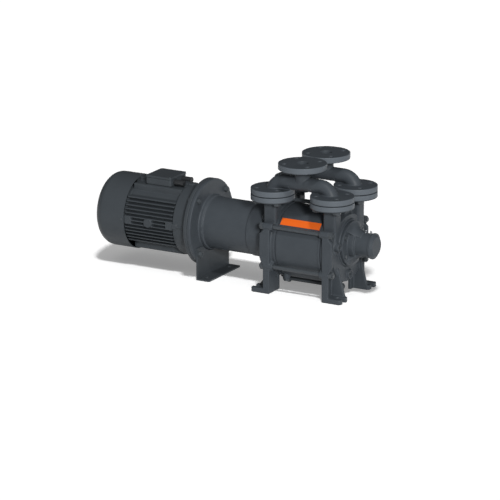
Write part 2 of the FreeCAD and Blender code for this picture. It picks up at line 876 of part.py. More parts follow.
def make_bracket_covers():
    """The closed cap of the free end and the open cover of the drive end."""
    end = "bracket_end + cover_depth"
    node("free_end_cap", turned([
        ("bearing_end", "locknut_radius + locknut_room"), ("bearing_end", "bearing_outer - fit"),
        ("bracket_end", "bearing_outer - fit"), ("bracket_end", "cover_radius"),
        (f"{end} - cover_nose", "cover_radius"),
        (f"{end} - cover_nose", "cover_radius - cover_step"),
        (end, "cover_face"), (end, "0"), (f"{end} - cover_wall", "0"),
        (f"{end} - cover_wall", "locknut_radius + locknut_room"),
    ]))
    node("drive_end_cover", turned([
        ("-bearing_end", "stub_radius + run"), ("-bearing_end", "bearing_outer - fit"),
        ("-bracket_end", "bearing_outer - fit"), ("-bracket_end", "cover_radius"),
        ("-bracket_end - m8_head", "cover_radius"), ("-bracket_end - m8_head", "stub_radius + run"),
    ]))


def make_bracket_screws():
    screws = []
    for end, way in (("1", "-x"), ("-1", "x")):
        for angle in BRACKET_ANGLES:
            at = around("bracket_circle", angle, f"{end} * (front_face + bracket_thickness)")
            screws.append(bolt("m8_radius", "bracket_thickness + m8_depth - fit", "m8_corner", "m8_head",
                               at, way))
    node("bracket_screws", group(screws))


def make_grease_nipples():
    """Two nipples, each a stem, a collar and a ball head, on the free end bearing housing."""
    nipples = []
    for along in ("bracket_end - nipple_inset", "bracket_end - nipple_inset - nipple_pitch"):
        base = [along, "0", "shaft_height + neck_outer"]
        nipples.append(fused(
            hexagon("m8_radius + 1", "m8_radius", base),
            cylinder("m8_radius / 2", "m8_radius * 2", base),
            ball("m8_radius * 0.75", shifted(base, "z", "m8_radius * 2")),
        ))
    node("grease_nipples", group(nipples))


# Bearings, seals, shaft and impeller of the pump

def ring_pair(inner, outer, starts, width, height="shaft_height"):
    """Rings of one section at several places along the shaft."""
    rings = []
    for start in starts:
        at = [start, "0", height]
        rings.append(cut(cylinder(outer, width, at, "x"), cylinder(inner, width, at, "x")))
    return group(rings)


def balls_at(centres, circle, radius):
    """The balls of several bearings along the shaft."""
    return group([ball(radius, around(circle, number * 45, centre))
                  for centre in centres for number in range(8)])


def make_pump_bearings():
    starts = ("bearing_start", "-bearing_end")
    node("bearing_outer_rings", ring_pair("bearing_outer - bearing_race", "bearing_outer", starts,
                                          "bearing_width"))
    node("bearing_inner_rings", ring_pair("bearing_bore + fit", "bearing_bore + bearing_race", starts,
                                          "bearing_width"))
    node("bearing_balls", balls_at(("bearing_centre", "-bearing_centre"),
                                   "(bearing_outer + bearing_bore) / 2",
                                   "(bearing_outer - bearing_bore) / 2 - bearing_race - fit"))


def make_seals():
    seats = ("front_face - seat_width", "-front_face")
    heads = ("front_face - seat_width - run - head_width", "-(front_face - seat_width - run)")
    node("seal_seats", ring_pair("seat_radius", "seal_radius - fit", seats, "seat_width"))
    node("seal_heads", ring_pair("sleeve_radius + fit", "head_radius", heads, "head_width"))


def make_pump_shaft():
    end = "bearing_end + locknut_width + 1"
    body = turned([
        ("pump_shaft_tip", "0"), (end, "0"), (end, "stub_radius"),
        ("bearing_end", "stub_radius"), ("bearing_end", "bearing_bore"),
        ("bearing_start", "bearing_bore"), ("bearing_start", "sleeve_radius"),
        ("plate_face", "sleeve_radius"), ("plate_face", "shaft_radius"),
        ("-plate_face", "shaft_radius"), ("-plate_face", "sleeve_radius"),
        ("-bearing_start", "sleeve_radius"), ("-bearing_start", "bearing_bore"),
        ("-bearing_end", "bearing_bore"), ("-bearing_end", "stub_radius"),
        ("pump_shaft_tip", "stub_radius"),
    ])
    keyway = box(["key_length", "key_width", "key_height"],
                 ["0", "0", "shaft_height + shaft_radius"])
    node("pump_shaft", cut(body, keyway))
    node("impeller_key", box(["key_length - 2 * fit", "key_width - 2 * fit", "key_height - 2 * fit"],
                             ["0", "0", "shaft_height + shaft_radius"]))
    hole = cylinder("stub_radius + fit", "locknut_width", ["bearing_end", "0", "shaft_height"], "x")
    nut = doc.addObject("Part::Prism", "Locknut")
    nut.Polygon = 12
    nut.setExpression("Circumradius", bind("locknut_radius"))
    nut.setExpression("Height", bind("locknut_width"))
    place(nut, ["bearing_end", "0", "shaft_height"], TURNS["x"])
    node("bearing_locknut", cut(nut, hole))


def make_impeller():
    """A hub with forward curved vanes, patterned about the shaft."""
    body = doc.addObject("PartDesign::Body", "Impeller")
    half = "(body_half - run)"
    profile = drawn(body, "XZ_Plane", [
        (f"-{half}", "shaft_radius + fit"), (half, "shaft_radius + fit"),
        (half, "hub_radius"), (f"-{half}", "hub_radius"),
    ])
    hub = body.newObject("PartDesign::Revolution", "Hub")
    hub.Profile = profile
    hub.ReferenceAxis = (profile, ["H_Axis"])
    hub.Angle = 360
    tip = "impeller_radius"
    root = "hub_radius - vane_thickness"
    far = "vane_sweep + vane_taper"
    vane = drawn(body, "YZ_Plane", [
        (root, "-vane_thickness / 2", "vane_bend", "ccw"),
        (f"{tip} * cos(vane_sweep)", f"{tip} * sin(vane_sweep)"),
        (f"{tip} * cos({far})", f"{tip} * sin({far})", "vane_bend - vane_thickness", "cw"),
        (root, "vane_thickness / 2"),
    ])
    vane.setExpression("AttachmentOffset.Base.z", bind(f"-{half}"))
    blade = body.newObject("PartDesign::Pad", "Vane")
    blade.Profile = vane
    blade.setExpression("Length", bind(f"2 * {half}"))
    doc.recompute()
    patterned(body, blade, vane, "vane_count")
    place(body, ["0", "0", "shaft_height"])
    keyway = box(["2 * body_length", "key_width", "key_height"], ["0", "0", "shaft_height + shaft_radius"])
    node("impeller", cut(body, keyway))


def patterned(body, feature, outline, count):
    """Repeat a body's feature about its outline's normal."""
    pattern = body.newObject("PartDesign::PolarPattern", "Around")
    pattern.Originals = [feature]
    pattern.Axis = (outline, ["N_Axis"])
    pattern.Angle = 360
    pattern.setExpression("Occurrences", bind(count))
    body.Tip = pattern


# Jaw coupling

def sectors(inner, outer, start, length, angle, first):
    """Four sectors of a ring, a quarter turn apart, each centred on its angle."""
    things = []
    for turn in range(4):
        at = [start, "0", "shaft_height"]
        centre = first + 90 * turn
        wedge = cylinder(outer, length, at, "x", angle, centre)
        things.append(wedge)
    return cut(fused(*things), cylinder(inner, length, [start, "0", "shaft_height"], "x"))


def make_coupling():
    """Two hubs whose jaws interlock, with an elastomer spider between them."""
    half_jaw = value("jaw_angle") / 2
    at = ["jaw_start", "0", "shaft_height"]
    disc = cylinder("coupling_radius", "hub_length", at, "x")
    jaws = sectors("jaw_inner + run", "coupling_radius", "jaw_start - jaw_gap + run", "jaw_gap - run",
                   "jaw_angle", -half_jaw)
    bore = cylinder("stub_radius + fit", "hub_length", at, "x")
    node("pump_coupling_hub", cut(fused(disc, jaws), bore))
    at = ["motor_shaft_tip - hub_length", "0", "shaft_height"]
    disc = cylinder("coupling_radius", "hub_length", at, "x")
    jaws = sectors("jaw_inner + run", "coupling_radius", "motor_shaft_tip", "jaw_gap - run",
                   "jaw_angle", 45 - half_jaw)
    bore = cylinder("motor_shaft_radius + fit", "hub_length", at, "x")
    keyway = box(["hub_length * 2", "motor_key_width", "motor_key_height"],
                 ["motor_shaft_tip - hub_length / 2", "0", "shaft_height + motor_shaft_radius"])
    node("motor_coupling_hub", cut(fused(disc, jaws), bore, keyway))
    lobe = "45 - jaw_angle - 2 * jaw_play"
    half_lobe = value(lobe) / 2
    start = "motor_shaft_tip + run"
    length = "jaw_gap - 2 * run"
    ring = cylinder("jaw_inner", length, [start, "0", "shaft_height"], "x")
    lobes = [sectors("jaw_inner - spider_root", "coupling_radius - spider_edge", start, length, lobe,
                     first - half_lobe)
             for first in (22.5, 67.5)]
    hole = cylinder("spider_inner", length, [start, "0", "shaft_height"], "x")
    node("coupling_spider", cut(fused(ring, *lobes), hole))


# Lantern between pump and motor, and the sheet foot under its rim

def make_lantern():
    """A tube with a stepped ring and four lugs at the pump and a rim at the motor."""
    inner = "lantern_waist - lantern_wall"
    ring_end = "lantern_near - lantern_waist_length - lantern_ring_length"
    shell = turned([
        ("lantern_near", inner), ("lantern_near", "lantern_waist"),
        ("lantern_near - lantern_waist_length", "lantern_waist"),
        ("lantern_near - lantern_waist_length", "lantern_ring"),
        (ring_end, "lantern_ring"), (ring_end, "lantern_radius"),
        ("rim_face + collar_length", "lantern_radius"), ("rim_face + collar_length", "lantern_collar"),
        ("rim_face", "lantern_collar"), ("rim_face", "flange_radius"),
        ("motor_face", "flange_radius"), ("motor_face", "flange_spigot + fit"),
        ("motor_face + spigot_height + fit", "flange_spigot + fit"),
        ("motor_face + spigot_height + fit", inner),
    ])
    foot = "lantern_near - lantern_foot_thickness"
    lugs = [radial_box("lantern_waist - lantern_wall / 2", "lantern_foot", "lantern_lug", foot,
                       "lantern_foot_thickness", angle, "shaft_height") for angle in QUARTERS]
    holes = [cylinder("m12_hole", "lantern_rim", around("flange_circle", angle, "motor_face"), "x")
             for angle in QUARTERS]
    holes += [cylinder("m8_radius + fit * 2", "lantern_foot_thickness",
                       around("lantern_circle", angle, foot), "x") for angle in QUARTERS]
    node("lantern", cut(fused(shell, *lugs), *holes))
    screws = [bolt("m8_radius", "lantern_foot_thickness + m8_depth - fit", "m8_corner", "m8_head",
                   around("lantern_circle", angle, foot), "x") for angle in QUARTERS]
    node("lantern_screws", group(screws))


def make_support_foot():
    """A bent sheet: an upright plate cut round the collar and a foot with two holes."""
    upright = span_box(["rim_face", "-sheet_half_width", "0"],
                       ["rim_face + sheet", "sheet_half_width", "sheet_height"])
    foot = padded(rounded("sheet_foot / 2", "sheet_half_width", "sheet", "rim_face + sheet_foot / 2"),
                  "XY_Plane", "0", "sheet")
    corner = span_box(["rim_face", "-sheet_half_width", "0"], ["rim_face + 3 * sheet", "sheet_half_width",
                                                               "sheet"])
    holes = [cylinder("sheet_cut", "sheet", ["rim_face", "0", "shaft_height"], "x")]
    for side in SIDES:
        holes.append(cylinder("sheet_hole", "sheet", ["rim_face + sheet_hole_reach",
                                                      f"{side} * sheet_hole_spread", "0"]))
    for angle in (225, 315):
        holes.append(cylinder("m12_hole", "sheet", around("flange_circle", angle, "rim_face"), "x"))
    node("support_foot", cut(fused(upright, foot, corner), *holes))


def make_motor_bolts():
    bolts = []
    nuts = []
    for angle in QUARTERS:
        seat = "rim_face" if angle < 180 else "rim_face + sheet"
        at = around("flange_circle", angle, "flange_back")
        bolts.append(bolt("m12_radius", f"{seat} - (flange_back) + m12_nut + m12_end", "m12_corner",
                          "m12_head", at, "x"))
        at = around("flange_circle", angle, seat)
        hole = cylinder("m12_radius + fit", "m12_nut", at, "x")
        nuts.append(cut(hexagon("m12_corner", "m12_nut", at, "x"), hole))
    node("motor_flange_bolts", group(bolts))
    node("motor_flange_nuts", group(nuts))


# Motor

def make_front_shield():
    """The flange shield: spigot, flange, tapered rim, bearing hub, four lugs and ribs."""
    shell = turned([
        ("motor_face + spigot_height", "rotor_shaft_radius"), ("motor_face + spigot_height", "flange_spigot"),
        ("motor_face", "flange_spigot"), ("motor_face", "flange_radius"),
        ("flange_back", "flange_radius"), ("flange_back", "shield_neck"),
        ("flange_back - shield_wall", "shield_radius"), ("housing_front", "shield_radius"),
        ("housing_front", "housing_bore"), ("flange_back", "housing_bore"),
        ("flange_back", "shield_hub"), ("flange_back - motor_bearing_width", "shield_hub"),
        ("flange_back - motor_bearing_width", "motor_bearing_outer + fit"),
        ("flange_back", "motor_bearing_outer + fit"), ("flange_back", "rotor_shaft_radius"),
    ])
    solids = [shell]
    holes = [cylinder("m12_hole", "flange_thickness", around("flange_circle", angle, "flange_back"), "x")
             for angle in QUARTERS]
    for angle in CROSS:
        solids.append(radial_box("pad_root", "fin_radius", "lug_width", "housing_front", "front_lug",
                                 angle, "shaft_height"))
        solids.append(radial_box("pad_root", "fin_radius", "shield_rib", "housing_front",
                                 "shield_length", angle, "shaft_height"))
        holes.append(cylinder("m6_radius + fit", "front_lug",
                              around("screw_circle", angle, "housing_front"), "x"))
        pocket = around("screw_circle", angle, "housing_front + front_lug")
        holes.append(cylinder("m6_corner + run", "m6_head * 2", pocket, "x"))
    node("motor_front_shield", cut(fused(*solids), *holes))


def make_rear_shield():
    """The plain shield at the fan end: bearing hub and four lugs that carry the cowl."""
    disc = turned([
        ("rear_back", "motor_bearing_bore + run"), ("rear_back", "housing_radius"),
        ("housing_back", "housing_radius"), ("housing_back", "shield_hub"),
        ("housing_back + motor_bearing_width", "shield_hub"),
        ("housing_back + motor_bearing_width", "motor_bearing_outer + fit"),
        ("housing_back", "motor_bearing_outer + fit"), ("housing_back", "motor_bearing_bore + run"),
    ])
    lugs = [radial_box("pad_root", "lug_reach", "lug_width", "rear_back",
                       "rear_thickness", angle, "shaft_height") for angle in CROSS]
    holes = [radial_hole(angle, "fit") for angle in CROSS]
    holes += [cylinder("m6_radius + fit", "rear_thickness", around("screw_circle", angle, "rear_back"), "x")
              for angle in CROSS]
    node("motor_rear_shield", cut(fused(disc, *lugs), *holes))


def make_shield_screws():
    screws = []
    for seat, way, length in (("housing_front + front_lug", "-x", "front_lug"),
                              ("rear_back", "x", "rear_thickness")):
        for angle in CROSS:
            screws.append(bolt("m6_radius", f"{length} + m6_depth - fit", "m6_corner", "m6_head",
                               around("screw_circle", angle, seat), way))
    node("shield_screws", group(screws))


def radial_hole(angle, extra):
    """A hole for one cowl screw, pointing at the shaft."""
    way = {0: "-y", 90: "-z", 180: "y", 270: "z"}[angle]
    at = around("cowl_radius", angle, "housing_back - rear_thickness / 2")
    return cylinder(f"m6_radius - 1 + {extra}", "cowl_screw_reach", at, way)


def make_housing():
    """A bored tube with level fins at the sides, upright fins below and a shoulder on top."""
    length = "housing_length"
    tube = cylinder("housing_radius", length, ["housing_back", "0", "shaft_height"], "x")
    side_fins = int(value("side_fins"))
    base_fins = int(value("base_fins"))
    fins = [box([length, "2 * fin_radius", "fin_thickness"],
                ["housing_mid", "0", f"shaft_height + {number} * fin_pitch"])
            for number in range(-side_fins, side_fins + 1)]
    fins += [box([length, "fin_thickness", "fin_radius"],
                 ["housing_mid", f"{number} * fin_pitch", "shaft_height - fin_radius / 2"])
             for number in range(-base_fins, base_fins + 1)]
    shoulder = span_box(["housing_back", "-shoulder_half", "shaft_height"],
                        ["housing_front", "shoulder_half", "shoulder_top"])
    seat = span_box(["box_back + box_wall", "-shoulder_half + box_wall", "shaft_height"],
                    ["box_front - box_wall", "shoulder_half - box_wall", "box_seat"])
    envelope = cylinder("fin_radius", length, ["housing_back", "0", "shaft_height"], "x")
    ribs = common(fused(*fins, shoulder, seat), envelope)
    pads = []
    holes = [cylinder("housing_bore", length, ["housing_back", "0", "shaft_height"], "x")]
    for angle in CROSS:
        for start, bottom in (("housing_back", "housing_back"),
                              ("housing_front - pad_size", "housing_front - m6_depth")):
            pads.append(radial_box("pad_root", "fin_radius", "pad_width", start, "pad_size", angle,
                                   "shaft_height"))
            holes.append(cylinder("m6_radius + fit", "m6_depth", around("screw_circle", angle, bottom), "x"))
    for side in SIDES:
        start = "pad_root" if side == "1" else "-fin_radius - spigot_height"
        pads.append(cylinder("pad_radius", "fin_radius + spigot_height - (pad_root)",
                             ["housing_mid", start, "shaft_height"], "y"))
    node("motor_housing", cut(fused(tube, ribs, *pads), *holes))


def make_motor_inside():
    starts = ("flange_back - motor_bearing_width", "housing_back")
    node("motor_bearing_outer_rings", ring_pair("motor_bearing_outer - motor_bearing_race",
                                                "motor_bearing_outer", starts, "motor_bearing_width"))
    node("motor_bearing_inner_rings", ring_pair("motor_bearing_bore + fit",
                                                "motor_bearing_bore + motor_bearing_race",
                                                starts, "motor_bearing_width"))
    node("motor_bearing_balls", balls_at(
        [f"{start} + motor_bearing_width / 2" for start in starts],
        "(motor_bearing_outer + motor_bearing_bore) / 2",
        "(motor_bearing_outer - motor_bearing_bore) / 2 - motor_bearing_race - fit"))
    core = "housing_mid - core_length / 2"
    node("stator_core", ring_pair("rotor_radius", "housing_bore - fit", [core], "core_length"))
    node("stator_windings", ring_pair("winding_inner", "winding_outer", [
        f"{core} - winding_length", f"{core} + core_length"], "winding_length"))
    node("rotor_core", ring_pair("rotor_shaft_radius + fit", "rotor_radius - air_gap", [core], "core_length"))
    tail = "rear_back - fan_gap - fan_width"
    shaft = turned([
        ("motor_shaft_tip", "0"), ("motor_shaft_tip", "motor_shaft_radius"),
        ("flange_back", "motor_shaft_radius"), ("flange_back", "motor_bearing_bore"),
        ("flange_back - motor_bearing_width", "motor_bearing_bore"),
        ("flange_back - motor_bearing_width", "rotor_shaft_radius"),
        ("housing_back + motor_bearing_width", "rotor_shaft_radius"),
        ("housing_back + motor_bearing_width", "motor_bearing_bore"),
        ("rear_back", "motor_bearing_bore"), ("rear_back", "fan_shaft_radius"),
        (tail, "fan_shaft_radius"), (tail, "0"),
    ])
    key_centre = ["motor_shaft_tip - motor_key_length / 2 - motor_key_inset", "0",
                  "shaft_height + motor_shaft_radius"]
    keyway = box(["motor_key_length", "motor_key_width", "motor_key_height"], key_centre)
    node("motor_shaft", cut(shaft, keyway))
    node("motor_key", box(["motor_key_length - 2 * fit", "motor_key_width - 2 * fit",
                           "motor_key_height - 2 * fit"], key_centre))


def make_fan():
    """A hub, a back plate and straight radial blades."""
    body = doc.addObject("PartDesign::Body", "Fan")
    front = "(rear_back - fan_gap)"
    back = f"({front} - fan_width)"
    profile = drawn(body, "XZ_Plane", [
        (back, "fan_shaft_radius + fit"), (back, "fan_hub"), (f"{front} - fan_plate", "fan_hub"),
        (f"{front} - fan_plate", "fan_radius"), (front, "fan_radius"),
        (front, "fan_shaft_radius + fit"),
    ])
    hub = body.newObject("PartDesign::Revolution", "FanHub")
    hub.Profile = profile
    hub.ReferenceAxis = (profile, ["H_Axis"])
    hub.Angle = 360
    outline = drawn(body, "YZ_Plane", [
        ("fan_hub - 1", "-fan_blade / 2"), ("fan_radius", "-fan_blade / 2"),
        ("fan_radius", "fan_blade / 2"), ("fan_hub - 1", "fan_blade / 2"),
    ])
    outline.setExpression("AttachmentOffset.Base.z", bind(back))
    blade = body.newObject("PartDesign::Pad", "FanBlade")
    blade.Profile = outline
    blade.setExpression("Length", bind("fan_width"))
    doc.recompute()
    patterned(body, blade, outline, "fan_blades")
    node("cooling_fan", place(body, ["0", "0", "shaft_height"]))


def make_cowl():
    """A deep drawn cowl with a rounded back, radial air slots and four screws."""
    inner = "cowl_radius - cowl_wall"
    back = "cowl_back + cowl_wall"
    body = doc.addObject("PartDesign::Body", "Cowl")
    profile = drawn(body, "XZ_Plane", [
        ("housing_back", "cowl_radius"), ("cowl_back + cowl_round", "cowl_radius", "cowl_round", "ccw"),
        ("cowl_back", "cowl_radius - cowl_round"), ("cowl_back", "0"), (back, "0"),
        (back, "cowl_radius - cowl_round", "cowl_round - cowl_wall", "cw"),
        ("cowl_back + cowl_round", inner), ("housing_back", inner),
    ])
    shell = body.newObject("PartDesign::Revolution", "CowlShell")
    shell.Profile = profile
    shell.ReferenceAxis = (profile, ["H_Axis"])
    shell.Angle = 360
    outline = drawn(body, "YZ_Plane", [
        ("cowl_slot_inner", "-cowl_slot_width / 2"), ("cowl_slot_outer", "-cowl_slot_width / 2"),
        ("cowl_slot_outer", "cowl_slot_width / 2"), ("cowl_slot_inner", "cowl_slot_width / 2"),
    ])
    outline.setExpression("AttachmentOffset.Base.z", bind("cowl_back - cowl_wall"))
    doc.recompute()
    slot = body.newObject("PartDesign::Pocket", "AirSlot")
    slot.Profile = outline
    slot.Reversed = True
    slot.setExpression("Length", bind("4 * cowl_wall"))
    doc.recompute()
    patterned(body, slot, outline, "cowl_slots")
    place(body, ["0", "0", "shaft_height"])
    node("fan_cowl", cut(body, *[radial_hole(angle, "fit") for angle in CROSS]))
    screws = []
    for angle in CROSS:
        way = {0: "y", 90: "z", 180: "-y", 270: "-z"}[angle]
        at = around("cowl_radius", angle, "housing_back - rear_thickness / 2")
        screws.append(fused(cylinder("m8_radius", "m8_radius / 2", at, way), radial_hole(angle, "0")))
    node("cowl_screws", group(screws))


def make_terminal_box():
    shell = padded(rounded("box_length / 2", "box_width / 2", "box_round", "housing_mid"), "XY_Plane",
                   "box_seat", "lid_base - box_seat")
    cavity = padded(rounded("box_length / 2 - box_wall", "box_width / 2 - box_wall",
                            "box_round - box_wall / 2", "housing_mid"),
                    "XY_Plane", "box_seat + box_wall", "lid_base - box_seat")
    entries = []
    plugs = []
    for side in SIDES:
        at = ["box_front - box_wall", f"{side} * box_width / 4", "(box_seat + lid_base) / 2"]
        entries.append(cylinder("gland_thread", "box_wall", at, "x"))
        head = cylinder("gland_radius", "gland_length", ["box_front", at[1], at[2]], "x")
        plugs.append(fused(head, cylinder("gland_thread - fit", "box_wall", at, "x")))
    node("terminal_box", cut(shell, cavity, *entries))
    node("cable_entry_plugs", group(plugs))
    lid = padded(rounded("box_length / 2 + lid_edge", "box_width / 2 + lid_edge", "box_round", "housing_mid"),
                 "XY_Plane", "lid_base", "lid_thickness")
    holes = []
    screws = []
    for end in SIDES:
        for side in SIDES:
            at = [f"housing_mid + {end} * (box_length / 2 - lid_screw_inset)",
                  f"{side} * (box_width / 2 - lid_screw_inset)", "lid_base + lid_thickness / 2"]
            holes.append(cylinder("m8_radius", "lid_thickness", at))
            screws.append(cylinder("m8_radius - fit", "lid_thickness / 2 - 1", at))
    node("terminal_lid", cut(lid, *holes))
    node("terminal_lid_screws", group(screws))
    block = box(["box_length / 2", "box_width / 3", "box_wall * 2"],
                ["housing_mid", "0", "box_seat + box_wall * 2"])
    node("terminal_block", block)


# Plugs and label

def make_plugs():
    """Recessed plugs with a hexagon socket, one in each drain boss and one in the side boss."""
    def plug(at, way):
        base = shifted(at, way, "-port_plug_depth")
        disc = cylinder("port_plug_radius - fit", "port_plug_depth - port_plug_sink", base, way)
        socket = hexagon("socket_corner", "port_plug_depth / 2", shifted(at, way, "-port_plug_depth * 0.75"),
                         way)
        return cut(disc, socket)

    node("service_liquid_plug", plug(["boss_face", "-boss_y", "shaft_height + boss_rise"], "x"))
    drop = "body_axis - drain_drop"
    node("casing_drain_plugs", group([plug(["front_face", "0", drop], "x"),
                                      plug(["-front_face", "0", drop], "-x")]))


def make_label():
    """A thin plate bent round the body, on its near upper side."""
    sweep = "label_width / body_radius * 180 / pi"
    at = ["-label_length / 2", "0", "body_axis"]
    first = 270 - value("label_angle") - value(sweep) / 2
    outer = cylinder("body_radius + label_gap + label_thickness", "label_length", at, "x", sweep, first)
    node("label_plate", cut(outer, cylinder("body_radius + label_gap", "label_length", at, "x")))


make_centre_body()
make_port_plate("drive_port_plate", "-1")
make_port_plate("free_port_plate", "1")
make_casing("drive_end_casing", "-1")
make_casing("free_end_casing", "1")
make_tie_rods()
make_manifold("suction_manifold", "-1")
make_manifold("discharge_manifold", "1")
make_flange_joints()
make_bracket("drive_bearing_housing", "-1")
make_bracket("free_bearing_housing", "1")
make_bracket_covers()
make_bracket_screws()
make_grease_nipples()
make_pump_bearings()
make_seals()
make_pump_shaft()
make_impeller()
make_coupling()
make_lantern()
make_support_foot()
make_motor_bolts()
make_front_shield()
make_rear_shield()
make_shield_screws()
make_housing()
make_motor_inside()
make_fan()
make_cowl()
make_terminal_box()
make_plugs()
make_label()
doc.recompute()

faults = [f"{item.Name} ({item.Label}): {item.State}" for item in doc.Objects
          if "Invalid" in item.State or "Error" in item.State]
faults += [item.Label for item in NODES if item.Shape.isNull() or not item.Shape.isValid()]
if faults:
    raise RuntimeError("These objects failed: " + "; ".join(faults))

os.makedirs("parts", exist_ok=True)
for item in NODES:
    item.Shape.exportStep(os.path.join("parts", item.Label + ".step"))
print(len(NODES), "sub-parts written")
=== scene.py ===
import json
import math

import bmesh
import bpy
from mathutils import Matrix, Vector

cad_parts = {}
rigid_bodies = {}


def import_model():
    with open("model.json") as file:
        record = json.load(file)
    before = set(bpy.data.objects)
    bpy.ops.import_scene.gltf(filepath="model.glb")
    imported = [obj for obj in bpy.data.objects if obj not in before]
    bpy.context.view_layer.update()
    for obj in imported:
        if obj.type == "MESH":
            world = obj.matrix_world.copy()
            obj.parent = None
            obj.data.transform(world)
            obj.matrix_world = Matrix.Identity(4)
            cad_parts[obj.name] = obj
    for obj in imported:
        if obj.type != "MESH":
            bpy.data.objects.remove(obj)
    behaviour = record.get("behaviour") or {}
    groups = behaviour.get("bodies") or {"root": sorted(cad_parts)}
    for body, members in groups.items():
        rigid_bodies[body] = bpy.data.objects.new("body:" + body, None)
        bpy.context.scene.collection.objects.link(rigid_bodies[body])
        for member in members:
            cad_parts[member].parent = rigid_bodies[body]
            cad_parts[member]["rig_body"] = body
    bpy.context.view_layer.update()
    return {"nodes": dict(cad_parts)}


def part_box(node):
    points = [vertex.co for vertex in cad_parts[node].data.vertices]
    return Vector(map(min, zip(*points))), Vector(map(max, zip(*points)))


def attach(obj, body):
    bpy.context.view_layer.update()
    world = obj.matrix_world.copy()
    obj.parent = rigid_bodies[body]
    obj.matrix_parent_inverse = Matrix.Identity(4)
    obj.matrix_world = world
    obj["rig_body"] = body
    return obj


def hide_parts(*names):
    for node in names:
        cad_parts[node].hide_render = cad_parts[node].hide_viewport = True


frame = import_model()

MM = 0.001


# Colours and shader nodes

def linear(code):
    """An sRGB hex colour as the linear colour a shader takes."""
    parts = [int(code[start:start + 2], 16) / 255 for start in (1, 3, 5)]
    return [part / 12.92 if part <= 0.04045 else ((part + 0.055) / 1.055) ** 2.4 for part in parts] + [1.0]


def add(tree, kind, inputs=(), **options):
    """Adds a node with its options; each input is set to a value or joined to another node's socket."""
    made = tree.nodes.new(kind)
    for name, value in options.items():
        setattr(made, name, value)
    for name, value in dict(inputs).items():
        socket = made.inputs[name]
        if isinstance(value, bpy.types.NodeSocket):
            tree.links.new(value, socket)
        else:
            socket.default_value = value
    return made


def blend(tree, share, first, second):
    """Two colours mixed by a share, nought for all of the first."""
    return add(tree, "ShaderNodeMix", {0: share, 6: first, 7: second}, data_type="RGBA").outputs[2]


def maths(tree, operation, *values):
    """The result of one operation on up to three numbers or sockets."""
    return add(tree, "ShaderNodeMath", dict(enumerate(values)), operation=operation).outputs[0]


def finish(name, colour, roughness, metallic=0.0, specular=0.5, bumps=(), coat=0.0, *, shade, shade_mm):
    """A material of one colour with a second shade in soft patches, and bumps of sizes and depths in mm."""
    material = bpy.data.materials.new(name)
    material.use_nodes = True
    tree = material.node_tree
    tree.nodes.clear()
    place = add(tree, "ShaderNodeTexCoord")
    patches = add(tree, "ShaderNodeTexNoise", {
        "Vector": place.outputs["Object"], "Scale": 1 / (shade_mm * MM), "Detail": 3.0,
    })
    shader = add(tree, "ShaderNodeBsdfPrincipled", {
        "Base Color": blend(tree, patches.outputs["Fac"], linear(colour), linear(shade)),
        "Roughness": roughness, "Metallic": metallic, "Specular IOR Level": specular,
        "Coat Weight": coat, "Coat Roughness": 0.3,
    })
    add(tree, "ShaderNodeOutputMaterial", {"Surface": shader.outputs["BSDF"]})
    normal = None
    for size, depth in bumps:
        grain = add(tree, "ShaderNodeTexNoise", {
            "Vector": place.outputs["Object"], "Scale": 1 / (size * MM), "Detail": 2.0,
        })
        inputs = {"Height": grain.outputs["Fac"], "Distance": depth * MM, "Strength": 1.0}
        if normal:
            inputs["Normal"] = normal.outputs["Normal"]
        normal = add(tree, "ShaderNodeBump", inputs)
        tree.links.new(normal.outputs["Normal"], shader.inputs["Normal"])
    return material


# The lower and the upper port flanges in mm: how far their axes stand from the middle in x and y, their
# radius, and the lowest and highest point of their rims
RIMS = (((114, 83), 75, 325, 380), ((0, 83), 82.5, 435, 465))
RIM_BAND_MM = 0.8


def painted_rim_highlight(material, highlight_colour):
    """A painted highlight on the rims of the port flanges: a little paler there, as where light catches them.
    """
    tree = material.node_tree
    shader = next(node for node in tree.nodes if node.bl_idname == "ShaderNodeBsdfPrincipled")
    coat = shader.inputs["Base Color"].links[0].from_socket
    place = add(tree, "ShaderNodeTexCoord")
    near = add(tree, "ShaderNodeVectorMath", {0: place.outputs["Object"]}, operation="ABSOLUTE").outputs[0]
    height = add(tree, "ShaderNodeSeparateXYZ", {0: near}).outputs["Z"]
    masks = []
    for (x, y), radius, low, high in RIMS:
        offset = add(tree, "ShaderNodeVectorMath", {0: near, 1: (x * MM, y * MM, 0)}, operation="SUBTRACT")
        level = add(tree, "ShaderNodeVectorMath", {0: offset.outputs[0], 1: (1, 1, 0)}, operation="MULTIPLY")
        reach = add(tree, "ShaderNodeVectorMath", {0: level.outputs[0]}, operation="LENGTH").outputs["Value"]
        at_rim = maths(tree, "COMPARE", reach, radius * MM, RIM_BAND_MM * MM)
        at_height = maths(tree, "COMPARE", height, (low + high) / 2 * MM, (high - low) / 2 * MM)
        masks.append(maths(tree, "MULTIPLY", at_rim, at_height))
    # The paler colour painted on the rims as a highlight
    mixed = blend(tree, maths(tree, "MAXIMUM", *masks), coat, linear(highlight_colour))
    tree.links.new(mixed, shader.inputs["Base Color"])


